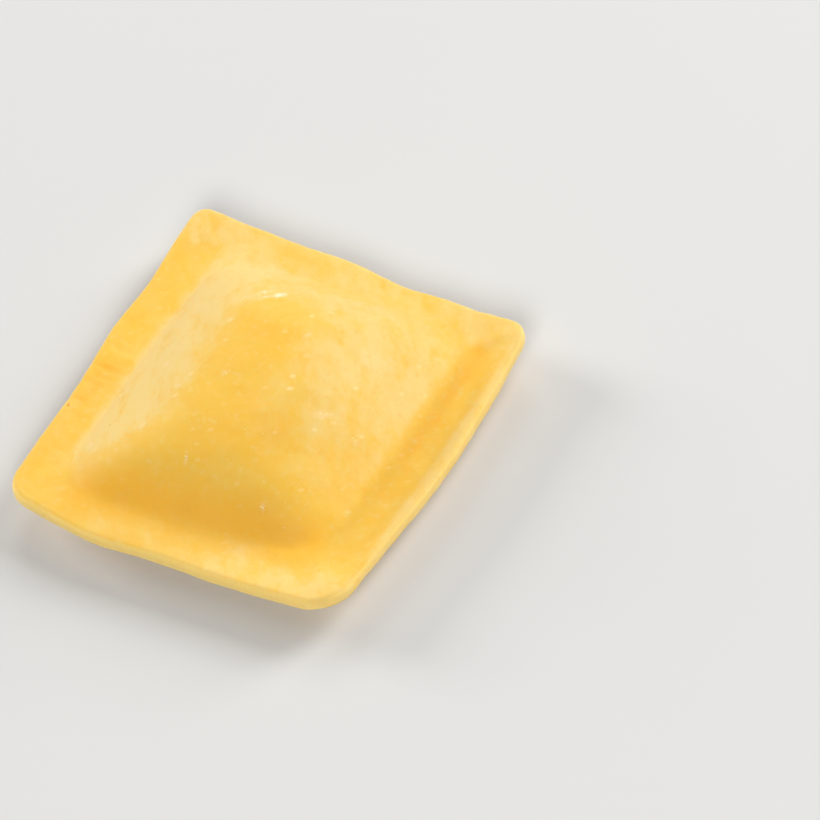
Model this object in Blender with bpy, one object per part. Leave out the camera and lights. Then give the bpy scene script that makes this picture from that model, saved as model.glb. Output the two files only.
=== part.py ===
"""One square raviolo: two sheets of fresh egg pasta pressed together round a mound of filling.

It lies on its belly, in metres, +Z up, with the origin on the surface it rests on, under its middle.
+X runs along the front edge, and the front edge faces -Y.
"""

import math

import bmesh
import bpy
from mathutils import Vector

# The cut square of dough
SIDE = 0.050
RIM_THICKNESS = 0.0021
EDGE_ROUNDING = 0.00075
EDGE_SEGMENTS = 3

# Corners of the cut square: how far they lie from a true square's, their rounding, how far they curl up,
# and where that starts, measured back along both sides together
CORNER_SHIFT = {
    ("left", "front"): (0.0005, 0.0000),
    ("right", "front"): (-0.0004, 0.0007),
    ("right", "back"): (0.0001, -0.0003),
    ("left", "back"): (-0.0015, 0.0008),
}
CORNER_RADIUS = {
    ("left", "front"): 0.0038,
    ("right", "front"): 0.0048,
    ("right", "back"): 0.0031,
    ("left", "back"): 0.0022,
}
CORNER_RISE = {
    ("left", "front"): 0.0002,
    ("right", "front"): 0.0004,
    ("right", "back"): 0.0010,
    ("left", "back"): 0.0003,
}
CORNER_REACH = 0.0104

# Where each cut side swells out or draws in: place along the side, half width, and how far out
SIDE_SWELLS = {
    "front": [(-0.011, 0.008, 0.0010), (-0.003, 0.016, 0.0008), (0.009, 0.009, 0.0005)],
    "right": [(0.001, 0.014, 0.0014)],
    "back": [(0.0055, 0.0045, -0.0005), (-0.002, 0.004, 0.0003)],
    "left": [(0.003, 0.004, 0.0003), (0.012, 0.004, -0.0003), (-0.0085, 0.005, -0.0002)],
}
SWELL_FADE = 3

# The rim is pressed flat round the filling, and its outer lip turns up
LIP_WIDTH = {"front": 0.0050, "right": 0.0030, "back": 0.0045, "left": 0.0030}
LIP_LIFT = {"front": 0.0006, "right": 0.0009, "back": 0.0003, "left": 0.0006}
SIDE_BLEND = 6
RING_SQUARENESS = 8

# The filling under the top sheet: where it is highest, where its foot lies on each side, and how each
# side rises. A fullness of 1 is a straight slope to the top, and 4 is a steep wall under a flat top.
DOME_HEIGHT = 0.0077
DOME_PEAK = (-0.0016, 0.0040)
DOME_FOOT = {"front": 0.0197, "right": 0.0187, "back": 0.0205, "left": 0.0195}
FOOT_SKEW = {"front": -0.09, "right": 0.02, "back": 0.0, "left": 0.0}
DOME_FULLNESS = {"front": 4.2, "right": 2.0, "back": 2.7, "left": 2.0}
DOME_CREASE = {"front": 0.0014, "right": 0.0009, "back": 0.0020, "left": 0.0009}
CREASE_BLEND = 3
HIP_SHARPNESS = 2.3

# The groove that the press leaves along the foot of the filling
GROOVE_DEPTH = 0.0003
GROOVE_FALL = 0.0009

# Lumps and hollows of the filling that show through the top sheet: x, y, radius and height
LUMPS = [
    (0.0073, 0.0028, 0.0072, 0.00110),
    (-0.0044, 0.0054, 0.0086, 0.00080),
    (-0.0127, -0.0101, 0.0061, -0.00080),
    (0.0065, -0.0038, 0.0040, 0.00045),
    (-0.0019, 0.0107, 0.0048, 0.00035),
]

# The belly under the bottom sheet, and the flat spot that it rests on
BELLY_DEPTH = 0.0031
BELLY_FOOT = 0.0205
BELLY_FULLNESS = 2.0
BELLY_CREASE = 0.0011
RESTING_HALF_WIDTH = 0.0120
RESTING_SOFTNESS = 0.0007

# The grid of the sheet: how many cells along a side, and how much finer they are at the rim
CELLS = 42
RIM_GRADING = 0.35

# Fresh egg pasta, dusted with semolina. Folds sharper than this many degrees are shaded as edges.
PASTA_COLOUR = (0.91, 0.56, 0.13, 1.0)
PASTA_ROUGHNESS = 0.55
SHARP_FOLD = 50

SIDES = ("front", "right", "back", "left")
HALF = SIDE / 2
RIM_TOP = BELLY_DEPTH + RIM_THICKNESS
TOLERANCE = 1e-6


def clear_scene():
    for item in list(bpy.data.objects):
        bpy.data.objects.remove(item, do_unlink=True)


def smooth_step(t):
    t = min(max(t, 0.0), 1.0)
    return t * t * (3 - 2 * t)


def sides_at(x, y):
    """The left or right side and the front or back side that a place is nearer to."""
    return ("left" if x < 0 else "right", "front" if y < 0 else "back")


def bump(distance, radius):
    """A soft bump of height 1, at a distance from its middle."""
    return math.exp(-((distance / radius) ** 2))


def swell(side, place_along):
    """How far out a cut side lies at a place along it."""
    return sum(amount * bump(place_along - place, radius) for place, radius, amount in SIDE_SWELLS[side])


def graded(t):
    """A share along the sheet, from -1 to 1, drawn towards the rim so that cells there are finer."""
    return t + RIM_GRADING * math.sin(math.pi * t) / math.pi


def round_the_corner(u, v):
    """A point of the square sheet, from -1 to 1, moved so that each ring round the middle has round corners."""
    ring = max(abs(u), abs(v))
    if ring == 0:
        return 0.0, 0.0
    radius = CORNER_RADIUS[sides_at(u, v)] / HALF * ring**2
    straight = ring - radius
    near, far = min(abs(u), abs(v)), ring
    if near > straight:
        turn = (near - straight) / radius * math.pi / 4
        near = straight + radius * math.sin(turn)
        far = straight + radius * math.cos(turn)
    x, y = (far, near) if abs(u) >= abs(v) else (near, far)
    return math.copysign(x, u), math.copysign(y, v)


def on_the_sheet(u, v):
    """Where a point of the square sheet lies in plan, with the cut square's own corners and swells."""
    u, v = round_the_corner(u, v)
    x, y = u * HALF, v * HALF
    to_the_right, to_the_back = (u + 1) / 2, (v + 1) / 2
    for (across, along), (shift_x, shift_y) in CORNER_SHIFT.items():
        share = to_the_right if across == "right" else 1 - to_the_right
        share *= to_the_back if along == "back" else 1 - to_the_back
        x += shift_x * share
        y += shift_y * share
    across, along = sides_at(u, v)
    x += swell(across, v * HALF) * u**SWELL_FADE
    y += swell(along, u * HALF) * v**SWELL_FADE
    return x, y


def reaches(x, y, peak, foot, skew, fullness):
    """How far a place lies towards the foot of a mound, across and along it: 0 at the peak and 1 at the foot."""
    from_peak_x, from_peak_y = x - peak[0], y - peak[1]
    across, along = sides_at(from_peak_x, from_peak_y)
    foot_x = math.copysign(foot[across] + skew[across] * y, from_peak_x) - peak[0]
    foot_y = math.copysign(foot[along] + skew[along] * x, from_peak_y) - peak[1]
    return (from_peak_x / foot_x) ** fullness[across], (from_peak_y / foot_y) ** fullness[along]


def rounded_reach(reach_x, reach_y):
    """The two reaches as one, with the mound's hips rounded where its sides meet."""
    return (reach_x**HIP_SHARPNESS + reach_y**HIP_SHARPNESS) ** (1 / HIP_SHARPNESS)


def softened(height, softness):
    """A height that is no lower than zero, with the corner at zero turned into a soft crease."""
    return (height + math.sqrt(height**2 + softness**2)) / 2


def set_down(height, softness):
    """A height over the table, flat where it would be below it, that leaves the table in a soft curve."""
    if height <= -softness:
        return 0.0
    if height >= softness:
        return height
    return (height + softness) ** 2 / (4 * softness)


def shared(values, sides, far_across, far_along, power):
    """A value of the side that a place lies farther towards, passing softly into the other side's at a corner."""
    across, along = sides
    weight_across, weight_along = far_across**power, far_along**power
    if weight_across + weight_along == 0:
        return values[across]
    return (values[across] * weight_across + values[along] * weight_along) / (weight_across + weight_along)


def lip_lift(u, v):
    """How far the rim is turned up at a place on the sheet."""
    sides = sides_at(u, v)
    lift = shared(LIP_LIFT, sides, abs(u), abs(v), SIDE_BLEND)
    width = shared(LIP_WIDTH, sides, abs(u), abs(v), SIDE_BLEND)
    ring = (abs(u) ** RING_SQUARENESS + abs(v) ** RING_SQUARENESS) ** (1 / RING_SQUARENESS)
    corner = CORNER_RISE[sides] * smooth_step(1 - (1 - abs(u * v)) * HALF / CORNER_REACH)
    return lift * smooth_step(1 - (1 - ring) * HALF / width) + corner


def top_height(u, v, x, y):
    """Height of the top sheet over the table."""
    reach_x, reach_y = reaches(x, y, DOME_PEAK, DOME_FOOT, FOOT_SKEW, DOME_FULLNESS)
    mound = DOME_HEIGHT * (1 - rounded_reach(reach_x, reach_y))
    sides = sides_at(x - DOME_PEAK[0], y - DOME_PEAK[1])
    dome = softened(mound, shared(DOME_CREASE, sides, reach_x, reach_y, CREASE_BLEND))
    lumps = sum(
        height * bump(math.hypot(x - place_x, y - place_y), radius) for place_x, place_y, radius, height in LUMPS
    )
    return RIM_TOP + lip_lift(u, v) + dome + lumps - GROOVE_DEPTH * bump(mound, GROOVE_FALL)


def belly_height(u, v, x, y):
    """Height of the bottom sheet over the table: a shallow belly, flat where it rests."""
    foot = dict.fromkeys(SIDES, BELLY_FOOT)
    skew = dict.fromkeys(SIDES, 0.0)
    fullness = dict.fromkeys(SIDES, BELLY_FULLNESS)
    full_depth = BELLY_DEPTH / (1 - (RESTING_HALF_WIDTH / BELLY_FOOT) ** BELLY_FULLNESS)
    reach = rounded_reach(*reaches(x, y, (0.0, 0.0), foot, skew, fullness))
    belly = softened(full_depth * (1 - reach), BELLY_CREASE)
    return set_down(BELLY_DEPTH + lip_lift(u, v) - belly, RESTING_SOFTNESS)


def on_the_cut(edge, across, along, bottom_sheet):
    """Whether an edge runs round the cut side of the dough, at its top or its bottom."""
    for vert in edge.verts:
        if max(abs(vert[across]), abs(vert[along])) < 1 - TOLERANCE:
            return False
    first, second = edge.verts
    return (first in bottom_sheet) == (second in bottom_sheet)


def split_faces_on_the_diagonals(dough, across, along, bottom_sheet):
    """Cut each face that a diagonal of a sheet crosses along that diagonal, so that the corners round evenly."""
    for face in dough.faces[:]:
        ends = [vert for vert in face.verts if abs(abs(vert[across]) - abs(vert[along])) < TOLERANCE]
        if len(ends) == 2 and (ends[0] in bottom_sheet) == (ends[1] in bottom_sheet):
            bmesh.utils.face_split(face, *ends)


def dough_mesh():
    """The grid of the top sheet, extruded down to the bottom sheet, with its cut edge rounded."""
    dough = bmesh.new()
    bmesh.ops.create_grid(dough, x_segments=CELLS, y_segments=CELLS, size=1)
    across = dough.verts.layers.float.new("across")
    along = dough.verts.layers.float.new("along")
    for vert in dough.verts:
        vert[across] = graded(vert.co.x)
        vert[along] = graded(vert.co.y)
    grown = bmesh.ops.extrude_face_region(dough, geom=dough.faces[:])
    bottom_sheet = {item for item in grown["geom"] if isinstance(item, bmesh.types.BMVert)}
    for vert in dough.verts:
        u, v = vert[across], vert[along]
        x, y = on_the_sheet(u, v)
        height = belly_height if vert in bottom_sheet else top_height
        vert.co = Vector((x, y, height(u, v, x, y)))
    split_faces_on_the_diagonals(dough, across, along, bottom_sheet)
    bmesh.ops.recalc_face_normals(dough, faces=dough.faces[:])
    bmesh.ops.bevel(
        dough,
        geom=[edge for edge in dough.edges if on_the_cut(edge, across, along, bottom_sheet)],
        offset=EDGE_ROUNDING,
        segments=EDGE_SEGMENTS,
        profile=0.5,
        affect="EDGES",
        clamp_overlap=True,
    )
    set_on_the_origin(dough)
    mesh = bpy.data.meshes.new("ravioli")
    dough.to_mesh(mesh)
    dough.free()
    return mesh


def set_on_the_origin(dough):
    """Move the dough so that the middle of its outline is over the origin and its flat spot is at height zero."""
    xs, ys, zs = zip(*(vert.co for vert in dough.verts))
    middle = Vector(((min(xs) + max(xs)) / 2, (min(ys) + max(ys)) / 2, min(zs)))
    bmesh.ops.translate(dough, verts=dough.verts[:], vec=-middle)


def pasta_material():
    material = bpy.data.materials.new("egg_pasta")
    material.use_nodes = True
    shader = material.node_tree.nodes["Principled BSDF"]
    shader.inputs["Base Color"].default_value = PASTA_COLOUR
    shader.inputs["Roughness"].default_value = PASTA_ROUGHNESS
    shader.inputs["Metallic"].default_value = 0.0
    return material


def main():
    clear_scene()
    mesh = dough_mesh()
    mesh.materials.append(pasta_material())
    mesh.shade_smooth()
    mesh.set_sharp_from_angle(angle=math.radians(SHARP_FOLD))
    bpy.context.scene.collection.objects.link(bpy.data.objects.new("ravioli", mesh))


main()
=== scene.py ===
import math
import random

import bpy
from mathutils import Matrix, Vector
from mathutils.bvhtree import BVHTree


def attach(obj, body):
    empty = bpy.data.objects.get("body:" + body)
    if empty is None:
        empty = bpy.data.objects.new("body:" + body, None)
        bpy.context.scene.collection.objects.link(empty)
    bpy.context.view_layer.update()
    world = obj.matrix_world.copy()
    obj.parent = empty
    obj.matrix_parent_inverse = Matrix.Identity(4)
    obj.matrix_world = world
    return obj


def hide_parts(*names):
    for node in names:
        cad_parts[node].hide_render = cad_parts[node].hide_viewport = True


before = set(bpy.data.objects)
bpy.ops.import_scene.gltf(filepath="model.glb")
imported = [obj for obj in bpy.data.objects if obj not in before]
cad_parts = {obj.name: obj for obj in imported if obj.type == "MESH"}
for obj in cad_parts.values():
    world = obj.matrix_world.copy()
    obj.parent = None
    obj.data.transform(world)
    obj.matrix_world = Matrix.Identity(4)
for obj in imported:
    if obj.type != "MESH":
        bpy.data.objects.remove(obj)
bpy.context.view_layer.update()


# ---- The raviolo ----
# Two sheets of fresh egg dough, pressed together round a mound of filling and cut square with a cutter.
# The dough is semolina flour and egg yolk. It dries matte, and the pressed rim and its folds turn a
# deeper orange in places. Beside the filling and on the front flank the orange is partly painted shade, and
# the pale cut edge and the paler lit flanks are painted light.

DOUGH_YELLOW = (0.880, 0.508, 0.036, 1.0)
DOUGH_PALE = (0.868, 0.558, 0.078, 1.0)
DOUGH_ORANGE = (0.960, 0.435, 0.020, 1.0)
# painted shade: the warmer orange of the front flank, which faces away from the lamps
DOUGH_IN_SHADE = (1.000, 0.480, 0.022, 1.0)
# painted highlight of the lit flanks, rims and lips, and partly flour dust and pale grains
DOUGH_DUST_AND_HIGHLIGHT = (0.870, 0.612, 0.188, 1.0)
# painted light that lifts the shaded cut sides
DOUGH_EDGE_LIGHT = (1.000, 0.700, 0.200, 1.0)
# flour, and also the painted highlight of the glints on the back of the crown
FLOUR_AND_GLINT_WHITE = (0.950, 0.830, 0.560, 1.0)
FLOUR_DAMP = (0.970, 0.740, 0.340, 1.0)

# Pale flecks, drawn out by the roller one way, and the film of flour and painted highlight, rubbed another:
# turns in degrees
FLECKS_PER_METRE = 620
ROLLED_TURN = 33
ROLLED_STRETCH = 1.6
RUBBED_TURN = -48
RUBBED_STRETCH = 1.8

# Where the film of flour and the painted highlight of the lit flanks, rims and lips lie, in metres. Each
# pair runs from the thinner film to the thicker one, except that ALONG_THE_SHOULDER is a middle and a
# reach. The fronts of the left flank and of the rim slant.
MASK_WANDER = 0.0140
FILLING_LEFT = (-0.0210, -0.0186)
FILLING_RIGHT = (0.0189, 0.0175)
FILLING_BACK = (0.0230, 0.0180)
LEFT_FLANK = (-0.0055, -0.0130)
LEFT_FLANK_FRONT = (-0.0080, -0.0030)
LEFT_FLANK_BACK = (0.0180, 0.0070)
LEFT_FLANK_SLANT = 0.6
SHOULDER = (-0.0010, 0.0100)
ALONG_THE_SHOULDER = (0.0070, 0.0210)
BACK_SLOPE = (0.0070, 0.0170)
BACK_SLOPE_RIGHT = (0.0260, -0.0080)
FRONT_RIM = (-0.0195, -0.0240)
FRONT_RIM_LEFT = (-0.0100, 0.0120)
FRONT_SLANT = 0.12
RIGHT_LIP = (0.0236, 0.0250)
BACK_LIP = (0.0195, 0.0225)
LEFT_FOOT = (-0.0195, -0.0212)

# Where the dough is painted deeper in colour, for its own tone and as painted shade, as middles and
# reaches.
# A side band lies across x, and its front and back parts are along y. A patch of the crown and the folds
# have x and then y. The front flank has y alone.
LEFT_BAND = (-0.0224, 0.0030)
LEFT_BAND_FRONT, LEFT_BAND_BACK = (-0.0035, 0.0050), (0.0110, 0.0030)
RIGHT_BAND = (0.0208, 0.0028)
CROWN_BACK = (-0.0005, 0.0042), (0.0070, 0.0035)
CROWN_FRONT = (0.0045, 0.0080), (-0.0075, 0.0070)
FRONT_FLANK = (-0.0182, 0.0050)
FOLDS = (-0.0232, 0.0030), (-0.0035, 0.0110)
FOLD_STRETCH = 0.28

# How two of those bands fade in at their ends, the middle and reach in x and in y of the place where the
# flecks crowd, and where the cut sides begin
RIGHT_BAND_FRONT, RIGHT_BAND_BACK = (-0.0130, -0.0020), (0.0230, 0.0200)
FRONT_FLANK_LEFT, FRONT_FLANK_RIGHT = (-0.0200, -0.0140), (0.0195, 0.0165)
CROWDED = (0.0040, 0.0210), (0.0010, 0.0190)
CUT_SIDE = (0.0225, 0.0240)
CUT_HEIGHT = (0.0024, 0.0032)

# Flour rubbed into the top sheet, and painted highlights where the light glints on the back of the crown
# (the first five rows): middle x and y, half length, half width, turn in degrees, thickness
FLOUR_AND_GLINTS = [
    (-0.0041, 0.0127, 0.00085, 0.00050, 49, 1.00),
    (-0.0062, 0.0125, 0.00085, 0.00045, 45, 0.35),
    (-0.0055, 0.0114, 0.00075, 0.00040, 45, 0.28),
    (-0.0080, 0.0107, 0.00080, 0.00040, 40, 0.20),
    (-0.0058, 0.0119, 0.00260, 0.00110, 45, 0.20),
    (0.0106, -0.0008, 0.00140, 0.00055, 40, 0.35),
    (0.0110, 0.0094, 0.00150, 0.00130, 45, 0.20),
    (0.0149, -0.0014, 0.00045, 0.00040, 0, 0.30),
    (-0.0090, -0.0046, 0.00060, 0.00040, 40, 0.35),
    (-0.0034, -0.0014, 0.00060, 0.00035, 40, 0.30),
    (-0.0135, -0.0010, 0.00045, 0.00035, 40, 0.30),
    (-0.0105, -0.0110, 0.00055, 0.00035, 60, 0.30),
    (-0.0185, -0.0056, 0.00055, 0.00030, 40, 0.30),
    (-0.0173, -0.0143, 0.00045, 0.00030, 40, 0.30),
    (0.0033, 0.0079, 0.00070, 0.00030, 60, 0.30),
    (-0.0022, -0.0136, 0.00070, 0.00025, 100, 0.30),
    (0.0097, -0.0151, 0.00050, 0.00025, 120, 0.35),
]

# Broad and fine unevenness of the rolled sheet: how far apart the swellings lie, and how high they are.
# It fades in over the belly band, so that the dough still rests flat.
UNEVENNESS = {"broad": (0.0048, 0.00022), "fine": (0.0012, 0.00007)}
BELLY_BAND = (0.0005, 0.0030)
WELD_DISTANCE = 0.000002

# Short creases across the left rim, from the edge to the foot of the filling: y, half width and depth
RIM_CREASES = [(0.0012, 0.00035, 0.00012), (-0.0022, 0.0005, 0.00016), (-0.0051, 0.0004, 0.00014),
               (-0.0083, 0.0005, 0.00010)]
CREASE_ENDS = (-0.0262, -0.0205)
CREASE_FADE = 0.0010


def pick_only(piece):
    """Selects one piece alone and makes it the active one."""
    bpy.ops.object.select_all(action="DESELECT")
    piece.select_set(True)
    bpy.context.view_layer.objects.active = piece


def soft_step(value, low, high):
    """Runs smoothly from 0 at low to 1 at high."""
    share = min(1.0, max(0.0, (value - low) / (high - low)))
    return share * share * (3 - 2 * share)


class Shade:
    """A number or colour that changes over a surface. Arithmetic on it adds the Math nodes for it."""

    def __init__(self, finish, socket):
        self.finish = finish
        self.socket = socket

    def out(self, name):
        """Another output of the same node."""
        return Shade(self.finish, self.socket.node.outputs[name])

    def maths(self, operation, first, second):
        return self.finish.node("ShaderNodeMath", {"operation": operation}, {0: first, 1: second})

    def __add__(self, other):
        return self.maths("ADD", self, other)

    __radd__ = __add__

    def __mul__(self, other):
        return self.maths("MULTIPLY", self, other)

    __rmul__ = __mul__

    def __sub__(self, other):
        return self.maths("SUBTRACT", self, other)

    def __rsub__(self, other):
        return self.maths("SUBTRACT", other, self)

    def __abs__(self):
        return self.maths("ABSOLUTE", self, 0.0)

    def rise(self, low, high):
        """Runs smoothly from 0 where this is low to 1 where it is high."""
        return self.finish.node("ShaderNodeMapRange", {"interpolation_type": "SMOOTHSTEP"},
                                {"Value": self, "From Min": low, "From Max": high})

    def hill(self, middle, reach):
        """1 where this is at the middle, falling smoothly to 0 at that reach from it."""
        return abs(self - middle).rise(reach, 0.0)


class Finish:
    """A material that is put together node by node."""

    def __init__(self, name):
        self.material = bpy.data.materials.new(name)
        self.material.use_nodes = True
        self.tree = self.material.node_tree
        self.shader = self.tree.nodes["Principled BSDF"]
        self.place = self.node("ShaderNodeTexCoord", {}, {}).out("Object")

    def feed(self, socket, value):
        if isinstance(value, Shade):
            self.tree.links.new(value.socket, socket)
        else:
            socket.default_value = value

    def node(self, kind, settings, sockets):
        """Adds a node of that type: its settings first, then the values or links of its sockets."""
        made = self.tree.nodes.new(kind)
        for setting, value in settings.items():
            setattr(made, setting, value)
        for name, value in sockets.items():
            self.feed(made.inputs[name], value)
        return Shade(self, next(socket for socket in made.outputs if socket.enabled))

    def noise(self, scale, detail=2.0, roughness=0.5, place=None):
        """Soft noise with that many swellings in a metre."""
        return self.node("ShaderNodeTexNoise", {}, {
            "Vector": place or self.place, "Scale": scale, "Detail": detail, "Roughness": roughness})

    def placed(self, way, location=(0.0, 0.0), degrees=0.0, scale=(1.0, 1.0)):
        """The place on the object, moved, turned and stretched in plan, the POINT or the TEXTURE way."""
        return self.node("ShaderNodeMapping", {"vector_type": way}, {
            "Vector": self.place, "Location": (*location, 0.0),
            "Rotation": (0.0, 0.0, math.radians(degrees)), "Scale": (*scale, 1.0)})

    def blend(self, under, over, amount):
        """Colour over laid on colour under by that amount."""
        return self.node("ShaderNodeMix", {"data_type": "RGBA"}, {0: amount, 6: under, 7: over})

    def set(self, **sockets):
        """Values or links of the shader's own sockets, such as Base_Color."""
        for name, value in sockets.items():
            self.feed(self.shader.inputs[name.replace("_", " ")], value)

    def bump(self, height, distance, strength):
        """Fine relief in the shading: the height at 1 is that distance."""
        return self.node("ShaderNodeBump", {}, {
            "Height": height, "Distance": distance, "Strength": strength})


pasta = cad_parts["ravioli"].copy()
pasta.data = pasta.data.copy()
pasta.name = pasta.data.name = "pasta"
bpy.context.scene.collection.objects.link(pasta)
pasta.parent = None
pasta.matrix_world = Matrix.Identity(4)
pick_only(pasta)
bpy.ops.object.mode_set(mode="EDIT")
bpy.ops.mesh.select_all(action="SELECT")
bpy.ops.mesh.remove_doubles(threshold=WELD_DISTANCE)
bpy.ops.mesh.tris_convert_to_quads()
bpy.ops.object.mode_set(mode="OBJECT")

smoothing = pasta.modifiers.new("rolled_smooth", "SUBSURF")
smoothing.levels = smoothing.render_levels = 2
bpy.ops.object.modifier_apply(modifier=smoothing.name)

above_the_belly = pasta.vertex_groups.new(name="above_the_belly")
for vertex in pasta.data.vertices:
    above_the_belly.add([vertex.index], soft_step(vertex.co.z, *BELLY_BAND), "REPLACE")
for name, (spacing, height) in UNEVENNESS.items():
    lumps = bpy.data.textures.new(name + "_unevenness", "CLOUDS")
    lumps.noise_scale = spacing
    lumps.noise_depth = 1
    swelling = pasta.modifiers.new(name, "DISPLACE")
    swelling.texture = lumps
    swelling.texture_coords = "LOCAL"
    swelling.vertex_group = above_the_belly.name
    swelling.strength = height
    swelling.mid_level = 0.5
    bpy.ops.object.modifier_apply(modifier=swelling.name)
pasta.vertex_groups.clear()

left_rim_top = [vertex for vertex in pasta.data.vertices
                if vertex.co.x < CREASE_ENDS[1] and vertex.normal.z > 0]
for vertex in left_rim_top:
    x, y, z = vertex.co
    across = soft_step(x, CREASE_ENDS[0], CREASE_ENDS[0] + CREASE_FADE)
    across *= 1 - soft_step(x, CREASE_ENDS[1] - CREASE_FADE, CREASE_ENDS[1])
    for along, half_width, depth in RIM_CREASES:
        vertex.co.z -= depth * across * math.exp(-(((y - along) / half_width) ** 2))
bpy.ops.object.shade_smooth()

dough = Finish("egg_pasta")
axes = dough.node("ShaderNodeSeparateXYZ", {}, {"Vector": dough.place})
x, y, z = axes, axes.out("Y"), axes.out("Z")
cloudy = dough.noise(190, 3).rise(0.40, 0.66)
speckled = dough.noise(1000, 3, 0.6)
patchy = dough.noise(260, 2).rise(0.36, 0.60)
colour = dough.blend(DOUGH_YELLOW, DOUGH_PALE, cloudy * 0.5)

# A paler film is painted on the left flank, the back, the right shoulder, the front rim and the lips. It is
# painted highlight where the lamps light the dough most, and partly a thin film of flour. The crown and the
# front flank, which are less lit, keep the full yellow.
rubbed_along = dough.placed("TEXTURE", degrees=RUBBED_TURN, scale=(RUBBED_STRETCH, 1.0))
wander_x = x + MASK_WANDER * (dough.noise(150, 4, 0.65) - 0.5)
wander_y = y + MASK_WANDER * (dough.noise(165, 4, 0.65) - 0.5)
on_the_filling = x.rise(*FILLING_LEFT) * x.rise(*FILLING_RIGHT) * wander_y.rise(*FILLING_BACK)
left_flank = wander_x.rise(*LEFT_FLANK) * (wander_y - LEFT_FLANK_SLANT * x).rise(*LEFT_FLANK_FRONT)
left_flank = left_flank * (0.50 + 0.50 * wander_y.rise(*LEFT_FLANK_BACK))
right_shoulder = wander_x.rise(*SHOULDER) * wander_y.hill(*ALONG_THE_SHOULDER)
back_slope = wander_y.rise(*BACK_SLOPE) * x.rise(*BACK_SLOPE_RIGHT)
front_rim = (wander_y - FRONT_SLANT * x).rise(*FRONT_RIM) * (0.35 + 0.65 * x.rise(*FRONT_RIM_LEFT))
outer_rim = x.rise(*RIGHT_LIP) + 0.8 * wander_y.rise(*BACK_LIP) + 0.2 * x.rise(*LEFT_FOOT)
flour_and_highlight = (0.80 * left_flank + 0.64 * right_shoulder + 0.40 * back_slope) * on_the_filling
flour_and_highlight = 0.12 + flour_and_highlight + 0.60 * front_rim + 0.5 * outer_rim
flour_and_highlight = flour_and_highlight * (3.2 * dough.noise(420, 4, 0.6, rubbed_along) - 0.6)
# painted highlight, partly a film of flour
colour = dough.blend(colour, DOUGH_DUST_AND_HIGHLIGHT, flour_and_highlight.rise(-0.1, 1.05))

# Just outside the foot of the filling, left and right, the dough is painted a deeper orange in patches. It
# is painted shade where the filling keeps the lamps off, and partly dough that the press thinned. The folds
# across the left rim make short streaks of deeper orange, and the crown keeps some. The front flank, which
# faces away from the lamps, gets painted shade in a warmer orange.
left_band = wander_y.hill(*LEFT_BAND_FRONT) + 0.6 * wander_y.hill(*LEFT_BAND_BACK)
left_band = x.hill(*LEFT_BAND) * left_band
right_band = x.hill(*RIGHT_BAND) * y.rise(*RIGHT_BAND_FRONT) * y.rise(*RIGHT_BAND_BACK)
crown_patch = wander_x.hill(*CROWN_BACK[0]) * wander_y.hill(*CROWN_BACK[1])
crown_patch = crown_patch + 0.7 * wander_x.hill(*CROWN_FRONT[0]) * wander_y.hill(*CROWN_FRONT[1])
shaded_front_flank = (y - FRONT_SLANT * x).hill(*FRONT_FLANK)
shaded_front_flank = shaded_front_flank * x.rise(*FRONT_FLANK_LEFT) * x.rise(*FRONT_FLANK_RIGHT)
# painted shade beside the foot of the filling, partly thinned dough, and the crown's own deeper patches
deeper_and_shaded = (0.8 * left_band + 1.3 * right_band + crown_patch) * (0.12 + 0.30 * patchy)
colour = dough.blend(colour, DOUGH_ORANGE, deeper_and_shaded)
# painted shade on the front flank
colour = dough.blend(colour, DOUGH_IN_SHADE, 0.55 * shaded_front_flank)
across_the_rim = dough.placed("POINT", scale=(FOLD_STRETCH, 1.0))
streaks = dough.noise(820, 1, 0.5, across_the_rim).rise(0.50, 0.66)
colour = dough.blend(colour, DOUGH_ORANGE, x.hill(*FOLDS[0]) * y.hill(*FOLDS[1]) * streaks * 0.5)

# The cut sides are painted paler, as painted light, most of all at the front, which faces away from the
# lamps
facing = dough.node("ShaderNodeSeparateXYZ", {}, {
    "Vector": dough.node("ShaderNodeNewGeometry", {}, {}).out("Normal")})
at_the_cut = abs(x).rise(*CUT_SIDE) + abs(y).rise(*CUT_SIDE)
cut_edge_light = abs(facing.out("Z")).rise(0.97, 0.70) * z.rise(*CUT_HEIGHT) * at_the_cut
colour = dough.blend(colour, DOUGH_EDGE_LIGHT, cut_edge_light * (0.40 + 0.45 * facing.out("Y").rise(0.1, -0.6)))

# Fine grains of semolina in the dough show as paler and darker dots, and the coarser ones as pale
# flecks that the rolling drew out one way. The front flank has few of either.
dotted = 1 - 0.7 * shaded_front_flank
colour = dough.blend(colour, DOUGH_DUST_AND_HIGHLIGHT, speckled.rise(0.52, 0.74) * dotted * 0.4)
colour = dough.blend(colour, DOUGH_ORANGE, speckled.rise(0.44, 0.28) * 0.25)
rolled_out = dough.placed("TEXTURE", degrees=ROLLED_TURN, scale=(ROLLED_STRETCH, 1.0))
cells = dough.node("ShaderNodeTexVoronoi", {"feature": "F1"}, {
    "Vector": rolled_out, "Scale": FLECKS_PER_METRE})
chosen = dough.node("ShaderNodeSeparateColor", {}, {"Color": cells.out("Color")}).rise(0.40, 0.95)
crowded = 0.25 + 0.75 * x.hill(*CROWDED[0]) * y.hill(*CROWDED[1])
colour = dough.blend(colour, FLOUR_DAMP, cells.rise(0.26, 0.06) * chosen * crowded * dotted * 0.85)

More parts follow.
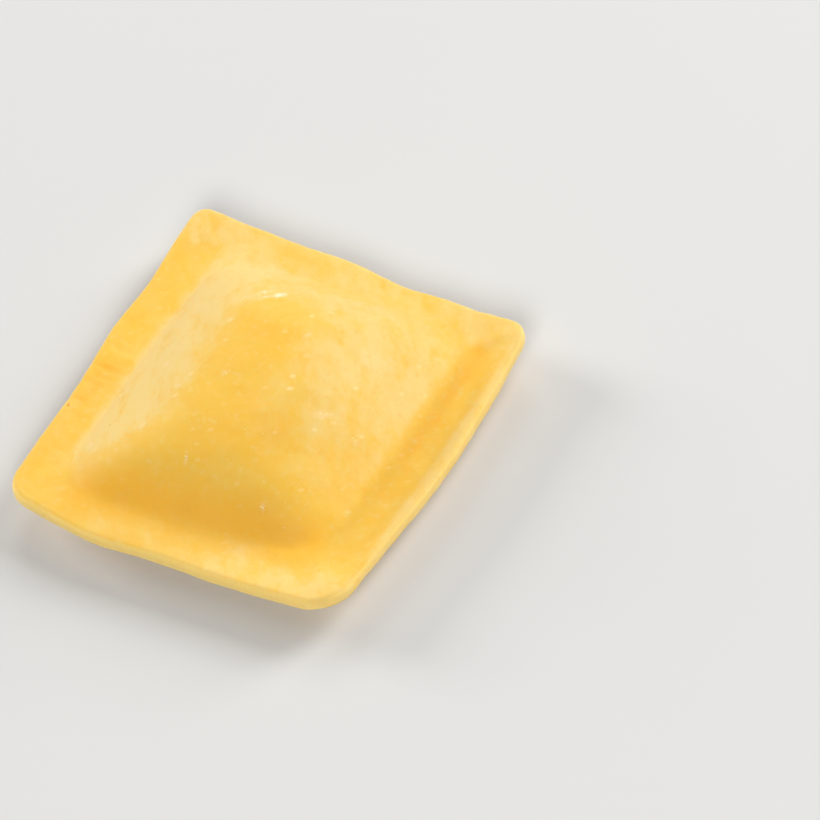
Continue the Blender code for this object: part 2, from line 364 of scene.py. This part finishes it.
# Dry flour rubbed into the top sheet in a few places, and painted highlights where the light glints on the
# back of the crown
smears_and_glints = 0.0
for middle_x, middle_y, half_length, half_width, degrees, thickness in FLOUR_AND_GLINTS:
    smear = dough.placed("TEXTURE", (middle_x, middle_y), degrees, (half_length, half_width))
    reach = dough.node("ShaderNodeVectorMath", {"operation": "LENGTH"}, {0: smear}).out("Value")
    smears_and_glints = smears_and_glints + thickness * reach.rise(1.7, 0.1)
ragged = dough.noise(2600, 3, 0.7).rise(0.34, 0.62)
colour = dough.blend(colour, FLOUR_AND_GLINT_WHITE, (smears_and_glints * (0.35 + 0.9 * ragged)).rise(-0.1, 1.1) * 0.95)

dough.set(
    Base_Color=colour,
    Roughness=0.52 + 0.14 * dough.noise(700, 2),
    Normal=dough.bump(dough.noise(3200, 3, 0.6) + 0.8 * dough.noise(1100, 2), 0.00006, 0.25),
    Subsurface_Weight=0.25,
    Subsurface_Radius=(1.0, 0.55, 0.18),
    Subsurface_Scale=0.0012,
    Specular_IOR_Level=0.28,
    Sheen_Weight=0.12,
    Sheen_Roughness=0.45,
)
pasta.data.materials.clear()
pasta.data.materials.append(dough.material)
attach(pasta, "root")
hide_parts("ravioli")


# ---- Semolina ----
# Coarse grains of durum wheat semolina that the sheets were dusted with so that they wouldn't stick.
# Each is an irregular crumb, a tenth to half a millimetre across, mostly sunk in the soft dough.

GRAIN_COUNT = 260
GRAIN_RADIUS = (0.00005, 0.00014)
GRAIN_SINK = 0.55
GRAIN_COLOUR = (0.930, 0.720, 0.300, 1.0)
GRAIN_DARK = (0.920, 0.620, 0.160, 1.0)
DUSTED_MIDDLE = Vector((0.0, -0.003))
DUSTED_REACH = 0.020
DUSTED_LEAST = 0.22
SCATTER_HALF_SIDE = 0.0255
STEEPEST = 0.55
DROP_HEIGHT = 0.05
SEED = 11

chance = random.Random(SEED)
pasta_surface = BVHTree.FromPolygons(
    [vertex.co.copy() for vertex in pasta.data.vertices],
    [tuple(face.vertices) for face in pasta.data.polygons])


def on_the_pasta(x, y):
    """The point of the top sheet over a place, and the way it faces."""
    point, normal, _, _ = pasta_surface.ray_cast(Vector((x, y, DROP_HEIGHT)), Vector((0, 0, -1)))
    return point, normal


def scattered(model, places):
    """Copies a small crumb to each place, which is a point, a facing, a size and a sink, as one piece."""
    copies = []
    for point, normal, size, sink in places:
        mesh = model.data.copy()
        turn = normal.to_track_quat("Z", "Y").to_matrix().to_4x4()
        spin = Matrix.Rotation(chance.uniform(0, math.tau), 4, "Z")
        mesh.transform(
            Matrix.Translation(point - normal * sink) @ turn @ spin @ Matrix.Diagonal((*size, 1)))
        copies.append(bpy.data.objects.new("crumb", mesh))
        bpy.context.scene.collection.objects.link(copies[-1])
    bpy.ops.object.select_all(action="DESELECT")
    for crumb in copies:
        crumb.select_set(True)
    bpy.context.view_layer.objects.active = copies[0]
    bpy.ops.object.join()
    bpy.data.objects.remove(model)
    return copies[0]


def crumb_model(roundness):
    """One irregular crumb of radius 1, to be copied."""
    bpy.ops.object.select_all(action="DESELECT")
    bpy.ops.mesh.primitive_ico_sphere_add(subdivisions=1, radius=1.0)
    bpy.ops.object.mode_set(mode="EDIT")
    bpy.ops.transform.vertex_random(offset=1.0 - roundness, seed=SEED)
    bpy.ops.object.mode_set(mode="OBJECT")
    return bpy.context.active_object


places = []
while len(places) < GRAIN_COUNT:
    spot = Vector([chance.uniform(-SCATTER_HALF_SIDE, SCATTER_HALF_SIDE) for _ in range(2)])
    near = math.exp(-(((spot - DUSTED_MIDDLE).length / DUSTED_REACH) ** 4))
    dusting = DUSTED_LEAST + (1 - DUSTED_LEAST) * near
    point, normal = on_the_pasta(*spot)
    if point is None or normal.z < STEEPEST or chance.random() > dusting:
        continue
    radius = GRAIN_RADIUS[0] + (GRAIN_RADIUS[1] - GRAIN_RADIUS[0]) * chance.random() ** 2
    size = (radius * chance.uniform(1.0, 1.7), radius, radius * chance.uniform(0.6, 0.9))
    places.append((point, normal, size, radius * GRAIN_SINK))
semolina = scattered(crumb_model(0.8), places)
semolina.name = semolina.data.name = "semolina_grains"
bpy.ops.object.shade_smooth()

wheat = Finish("semolina")
wheat.set(
    Base_Color=wheat.blend(GRAIN_DARK, GRAIN_COLOUR, wheat.noise(900, 1).rise(0.35, 0.60)),
    Roughness=0.45 + 0.2 * wheat.noise(6000, 1),
    Subsurface_Weight=0.4,
    Subsurface_Radius=(1.0, 0.7, 0.4),
    Subsurface_Scale=0.0003,
)
semolina.data.materials.clear()
semolina.data.materials.append(wheat.material)
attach(semolina, "root")


# ---- Flour ----
# Dry flour that stayed on the top sheet where it was rubbed in, mostly near the back and on the right
# flank. It lies in thin flat flakes that cling to each other, whiter than the dough. On the back of the
# crown the flakes also stand for glints of light.

FLAKES_IN_A_SMEAR = 10
FLAKE_RADIUS = (0.00005, 0.00012)
FLAKE_THINNESS = 0.3
SMEAR_SPREAD_ALONG, SMEAR_SPREAD_ACROSS = 0.6, 0.7

places = []
for middle_x, middle_y, half_length, half_width, degrees, thickness in FLOUR_AND_GLINTS:
    along = Vector((math.cos(math.radians(degrees)), math.sin(math.radians(degrees))))
    across = Vector((-along.y, along.x))
    for _ in range(round(FLAKES_IN_A_SMEAR * thickness)):
        spot = Vector((middle_x, middle_y)) + along * chance.gauss(0, half_length * SMEAR_SPREAD_ALONG)
        spot += across * chance.gauss(0, half_width * SMEAR_SPREAD_ACROSS)
        point, normal = on_the_pasta(*spot)
        radius = chance.uniform(*FLAKE_RADIUS)
        size = (radius * chance.uniform(1.0, 1.8), radius, radius * FLAKE_THINNESS)
        places.append((point, normal, size, 0.0))
flour = scattered(crumb_model(0.7), places)
flour.name = flour.data.name = "flour_flakes"
bpy.ops.object.shade_smooth()

dry_flour = Finish("dry_flour")
dry_flour.set(
    Base_Color=dry_flour.blend(FLOUR_DAMP, FLOUR_AND_GLINT_WHITE, dry_flour.noise(900, 1).rise(0.45, 0.75)),
    Roughness=0.85 + 0.1 * dry_flour.noise(4000, 1),
    Specular_IOR_Level=0.2,
)
flour.data.materials.clear()
flour.data.materials.append(dry_flour.material)
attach(flour, "root")


# ---- Bran ----
# A few brown specks of wheat bran that passed the sieve and were rolled into the dough.
# Each is a thin flake, a third to two thirds of a millimetre long, nearly level with the surface.

# x, y and radius
BRAN_PLACES = [(-0.0240, -0.0094, 0.00022), (-0.0163, -0.0109, 0.00014), (-0.0229, 0.0120, 0.00010)]
BRAN_STRETCH, BRAN_THINNESS, BRAN_SINK = 1.5, 0.3, 0.12
BRAN_BROWN = (0.78, 0.34, 0.040, 1.0)
BRAN_TAN = (0.86, 0.44, 0.060, 1.0)

places = []
for bran_x, bran_y, radius in BRAN_PLACES:
    point, normal = on_the_pasta(bran_x, bran_y)
    size = (radius * BRAN_STRETCH, radius, radius * BRAN_THINNESS)
    places.append((point, normal, size, radius * BRAN_SINK))
bran = scattered(crumb_model(0.8), places)
bran.name = bran.data.name = "bran_specks"
bpy.ops.object.shade_smooth()

husk = Finish("bran")
husk.set(
    Base_Color=husk.blend(BRAN_BROWN, BRAN_TAN, husk.noise(5000, 1).rise(0.35, 0.65)),
    Roughness=0.6 + 0.1 * husk.noise(5000, 1),
)
bran.data.materials.clear()
bran.data.materials.append(husk.material)
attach(bran, "root")


# ---- The table, the lights and the camera ----
# The raviolo lies on a plain pale table top. Five soft boxes light it, one from the front right, three
# from behind and one from the left, so that the flank that faces the camera stays the darkest.

TABLE_SIDE = 4.0
TABLE_PALE = (0.67, 0.665, 0.65, 1.0)
TABLE_PALER = (0.69, 0.685, 0.67, 1.0)

bpy.ops.object.select_all(action="DESELECT")
bpy.ops.mesh.primitive_plane_add(size=TABLE_SIDE)
table = bpy.context.active_object
table.name = table.data.name = "table_top"
matt_paint = Finish("matt_paint")
matt_paint.set(
    Base_Color=matt_paint.blend(TABLE_PALE, TABLE_PALER, matt_paint.noise(8, 2)),
    Roughness=0.85 + 0.08 * matt_paint.noise(300, 2),
    Specular_IOR_Level=0.2,
)
table.data.materials.append(matt_paint.material)

SOFT_BOX_SIDE = 0.35
SOFT_BOX_DISTANCE = 0.9
SOFT_BOXES = {
    # degrees round from +X towards +Y, degrees above the table, watts
    "front_light": (300, 40, 5.0),
    "right_back_light": (60, 40, 3.0),
    "low_back_light": (60, 22, 3.9),
    "back_light": (120, 40, 1.6),
    "left_light": (180, 22, 5.0),
}
ROOM_LIGHT = 0.02


def toward(round_degrees, above_degrees):
    """The direction from the raviolo that lies so far round and above the table."""
    turn, lift = math.radians(round_degrees), math.radians(above_degrees)
    return Vector((math.cos(turn) * math.cos(lift), math.sin(turn) * math.cos(lift), math.sin(lift)))


for name, (round_degrees, above_degrees, watts) in SOFT_BOXES.items():
    direction = toward(round_degrees, above_degrees)
    bpy.ops.object.light_add(type="AREA", location=direction * SOFT_BOX_DISTANCE,
                             rotation=direction.to_track_quat("Z", "Y").to_euler())
    soft_box = bpy.context.active_object
    soft_box.name = soft_box.data.name = name
    soft_box.data.size = SOFT_BOX_SIDE
    soft_box.data.energy = watts

room = bpy.data.worlds.new("room")
room.use_nodes = True
room.node_tree.nodes["Background"].inputs["Color"].default_value = (1.0, 1.0, 1.0, 1.0)
room.node_tree.nodes["Background"].inputs["Strength"].default_value = ROOM_LIGHT
bpy.context.scene.world = room
bpy.context.scene.view_settings.view_transform = "Standard"

# The camera looks down from the front right, turned a little about its own axis, and frames the raviolo
# in the left two thirds of the picture
CAMERA_ROUND = -48.0
CAMERA_ABOVE = 50.0
CAMERA_TILT = -14.5
CAMERA_DISTANCE = 0.70
CAMERA_LENS = 243.3
CAMERA_NEAR = 0.01
CAMERA_TARGET = Vector((0.0, 0.0, 0.006))
PICTURE_RIGHT, PICTURE_UP = 0.01843, -0.00017

backwards = toward(CAMERA_ROUND, CAMERA_ABOVE)
level_right = Vector((0, 0, 1)).cross(backwards).normalized()
level_up = backwards.cross(level_right)
tilt = math.radians(CAMERA_TILT)
right = math.cos(tilt) * level_right + math.sin(tilt) * level_up
up = math.cos(tilt) * level_up - math.sin(tilt) * level_right
stand = CAMERA_TARGET + backwards * CAMERA_DISTANCE + right * PICTURE_RIGHT + up * PICTURE_UP
bpy.ops.object.camera_add(location=stand)
camera = bpy.context.active_object
camera.name = camera.data.name = "camera"
camera.matrix_world = Matrix.Translation(stand) @ Matrix((right, up, backwards)).transposed().to_4x4()
camera.data.lens = CAMERA_LENS
camera.data.clip_start = CAMERA_NEAR
bpy.context.scene.camera = camera
